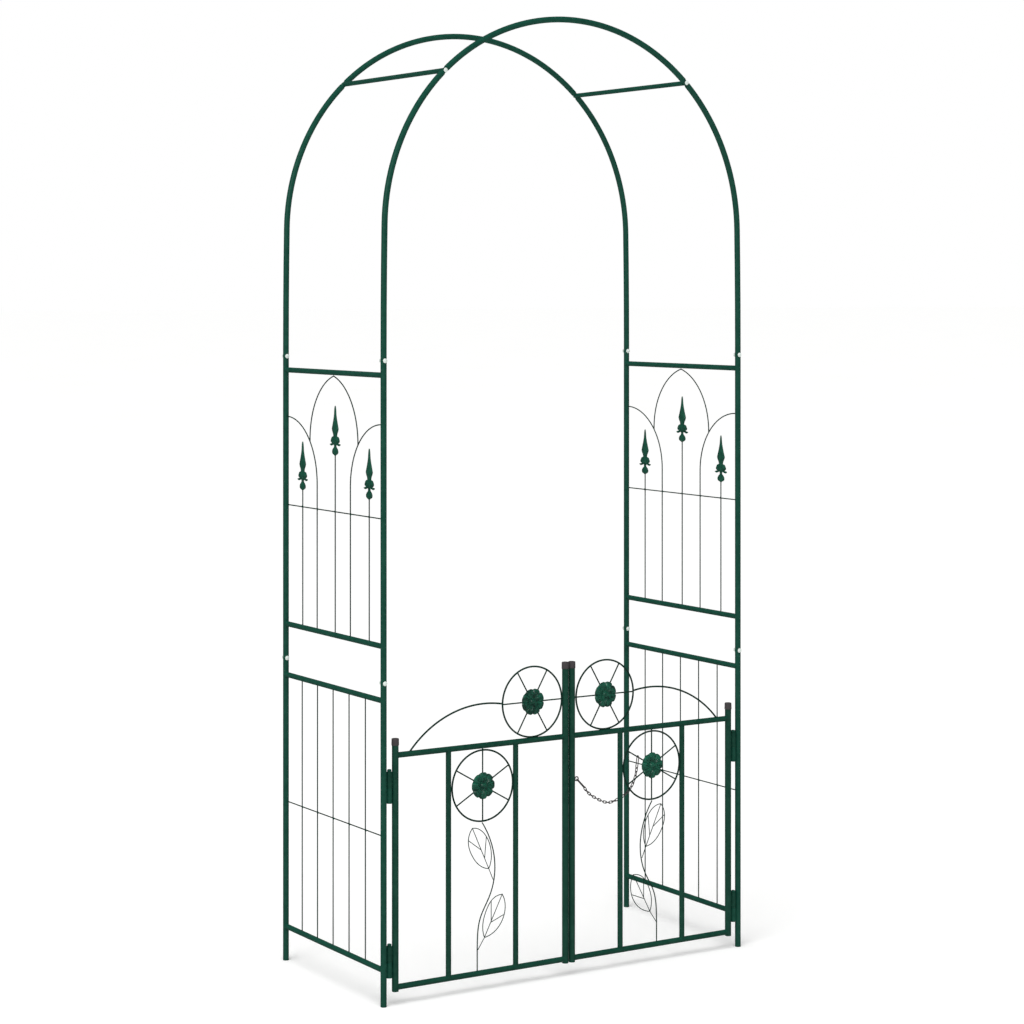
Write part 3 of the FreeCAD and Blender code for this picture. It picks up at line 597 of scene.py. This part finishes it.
def run_welds():
    beads = []
    for end_side, row in ((1, "front"), (-1, "rear")):
        places = []
        for side in ("left", "right"):
            post = middle("%s_lower_%s_post" % (side, row))
            for level in ("lower", "upper"):
                low, high = box_mm("%s_%s_rails" % (side, level))
                places += [(post.x, post.y, low.z + RAIL_R), (post.x, post.y, high.z - RAIL_R)]
        beads.append(((POST_R, "Z", RAIL_R, "Y", end_side), places))
    run_beads("frame_welds", "frame", beads, wire_crossings())
    for side, out in (("left", -1), ("right", 1)):
        body = side + "_leaf"
        rails, bars = box_mm(body + "_rails"), box_mm(body + "_bars")
        heights = rails[0].z + GATE_RAIL_R, rails[1].z - GATE_RAIL_R
        beads = []
        for name, end_side in (("_hinge_stile", -out), ("_meeting_stile", out)):
            stile = middle(body + name)
            beads.append(((STILE_R, "Z", GATE_RAIL_R, "X", end_side),
                          [(stile.x, stile.y, z) for z in heights]))
        for z, end_side in zip(heights, (1, -1)):
            beads.append(((GATE_RAIL_R, "X", BAR_R, "Z", end_side),
                          [(x, stile.y, z) for x in (bars[0].x + BAR_R, bars[1].x - BAR_R)]))
        run_beads(body + "_welds", body, beads, spoke_ends(side, out))


fit_rosettes()
fit_spears()
fit_caps()
run_welds()


# ---------------------------------------------------------------- room, light and camera
ROOM_LIGHT, REFLECTED_ROOM, BACKDROP = 0.3, 0.1, 1.0
EYE, HEADING = (-3.55092, -5.62307, 1.72046), -32.242   # in metres and degrees
FRONT_SHIFT = -0.00049, -0.21621                        # across and up, in picture widths


def pale_floor():
    bpy.ops.object.select_all(action="DESELECT")
    bpy.ops.mesh.primitive_plane_add(size=400)
    floor = bpy.context.object
    floor.name = "pale_floor"
    finish, tree, place = new_finish("matt white studio floor")
    shade = add(tree, "ShaderNodeTexNoise", {"Scale": 0.7, "Detail": 1.0}, {"Vector": place})
    colour = add(tree, "ShaderNodeMix", {COLOUR_A: srgb("#FBFBFA"), COLOUR_B: srgb("#FFFFFF")},
                 {FACTOR: shade.outputs["Fac"]}, data_type="RGBA").outputs[MIXED]
    shader = add(tree, "ShaderNodeBsdfPrincipled",
                 {"Roughness": 0.9, "Emission Color": (1, 1, 1, 1), "Emission Strength": 0.1},
                 {"Base Color": colour})
    add(tree, "ShaderNodeOutputMaterial", links={"Surface": shader.outputs["BSDF"]})
    floor.data.materials.append(finish)
    floor.visible_glossy = False


def lamp_at(name, kind, place, aim, watts, in_reflections):
    """A lamp that points from one place to another; the ones out of reflections only light."""
    lamp = bpy.data.lights.new(name, kind)
    lamp.energy = watts
    holder = bpy.data.objects.new(name, lamp)
    bpy.context.collection.objects.link(holder)
    holder.location = place
    holder.rotation_euler = (Vector(aim) - Vector(place)).to_track_quat("-Z", "Y").to_euler()
    holder.visible_glossy = in_reflections
    return lamp


def studio():
    """White backdrop; the room itself gives a dim even light, and the lamps do the rest."""
    world = bpy.data.worlds.new("white studio")
    world.use_nodes = True
    tree = world.node_tree
    ray = add(tree, "ShaderNodeLightPath").outputs
    room = add(tree, "ShaderNodeMapRange", {"To Min": ROOM_LIGHT, "To Max": REFLECTED_ROOM},
               {"Value": ray["Is Glossy Ray"]})
    level = add(tree, "ShaderNodeMapRange", {"To Max": BACKDROP},
                {"Value": ray["Is Camera Ray"], "To Min": room.outputs[0]})
    tree.links.new(level.outputs[0], tree.nodes["Background"].inputs["Strength"])
    tree.nodes["Background"].inputs["Color"].default_value = (1, 1, 1, 1)
    bpy.context.scene.world = world
    bpy.context.scene.view_settings.view_transform = "Standard"
    ceiling = lamp_at("diffused ceiling light", "SUN", (-2.2, -2.2, 7.0), (0, 0, 0), 2.4, False)
    ceiling.angle = math.radians(50)
    window = lamp_at("window light", "AREA", (-4.5, -2.5, 3.6), (0, 0, 1.2), 40, True)
    window.shape, window.size = "SQUARE", 2.2


def camera():
    """Level 90 mm view with a falling front, a little above the gate."""
    lens = bpy.data.cameras.new("camera")
    lens.lens, lens.sensor_width = 90.0, 36.0
    lens.shift_x, lens.shift_y = FRONT_SHIFT
    holder = bpy.data.objects.new("camera", lens)
    bpy.context.collection.objects.link(holder)
    holder.location = EYE
    holder.rotation_euler = (math.radians(90), 0, math.radians(HEADING))
    bpy.context.scene.camera = holder


pale_floor()
studio()
camera()
